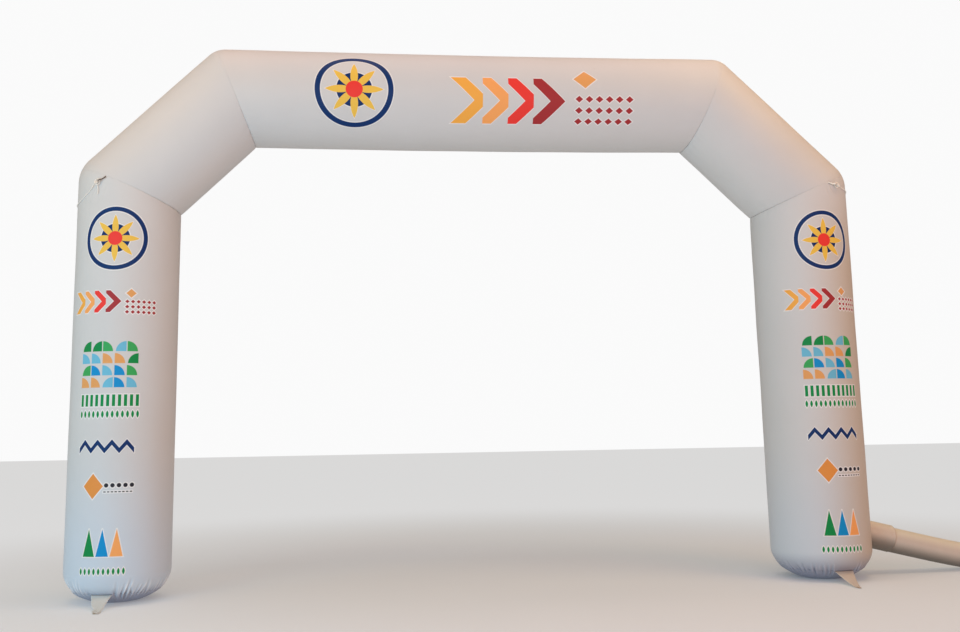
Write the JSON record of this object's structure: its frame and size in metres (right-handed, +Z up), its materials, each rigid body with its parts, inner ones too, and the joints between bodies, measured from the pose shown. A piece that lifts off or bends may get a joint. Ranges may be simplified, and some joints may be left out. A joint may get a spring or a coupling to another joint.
{
  "type": "inflatable arch",
  "caption": "Air-filled cloth event arch: upright tube legs, sloping shoulders and a level beam sewn on mitred seams, with gathered feet, anchor tabs, guy loops with ties, and a blower duct.",
  "frame": {"origin": "under the middle of the whole part's box, on the ground", "axes": "+X along the arch's span towards the blower duct's side, -Y towards its front, +Z up"},
  "size_m": [9.6394, 1.325, 5.525],
  "materials": {
    "leg_cloth": "off-white coated polyester, faint sheen",
    "base_cloth": "cool grey coated polyester",
    "shoulder_cloth": "off-white coated polyester, faint sheen",
    "beam_cloth": "off-white coated polyester, faint sheen",
    "tab_cloth": "off-white coated polyester, doubled",
    "eyelet_metal": "dull rolled metal",
    "duct_cloth": "beige coated polyester",
    "webbing": "woven cream webbing",
    "rope": "twisted cream cord"
  },
  "bodies": {
    "root": {"leg_left": "leg_cloth", "leg_right": "leg_cloth", "base_left": "base_cloth", "base_right": "base_cloth", "shoulder_left": "shoulder_cloth", "shoulder_right": "shoulder_cloth", "beam": "beam_cloth", "tab_left": "tab_cloth", "tab_right": "tab_cloth", "eyelet_left": "eyelet_metal", "eyelet_right": "eyelet_metal", "blower_collar": "duct_cloth", "blower_duct": "duct_cloth", "guy_loop_left_front": "webbing", "guy_loop_left_rear": "webbing", "guy_loop_right_front": "webbing", "guy_loop_right_rear": "webbing", "knot_left_front": "rope", "knot_left_rear": "rope", "knot_right_front": "rope", "knot_right_rear": "rope", "guy_tie_left": "rope", "guy_tie_right": "rope", "tail_left_front": "rope"}
  },
  "joints": []
}
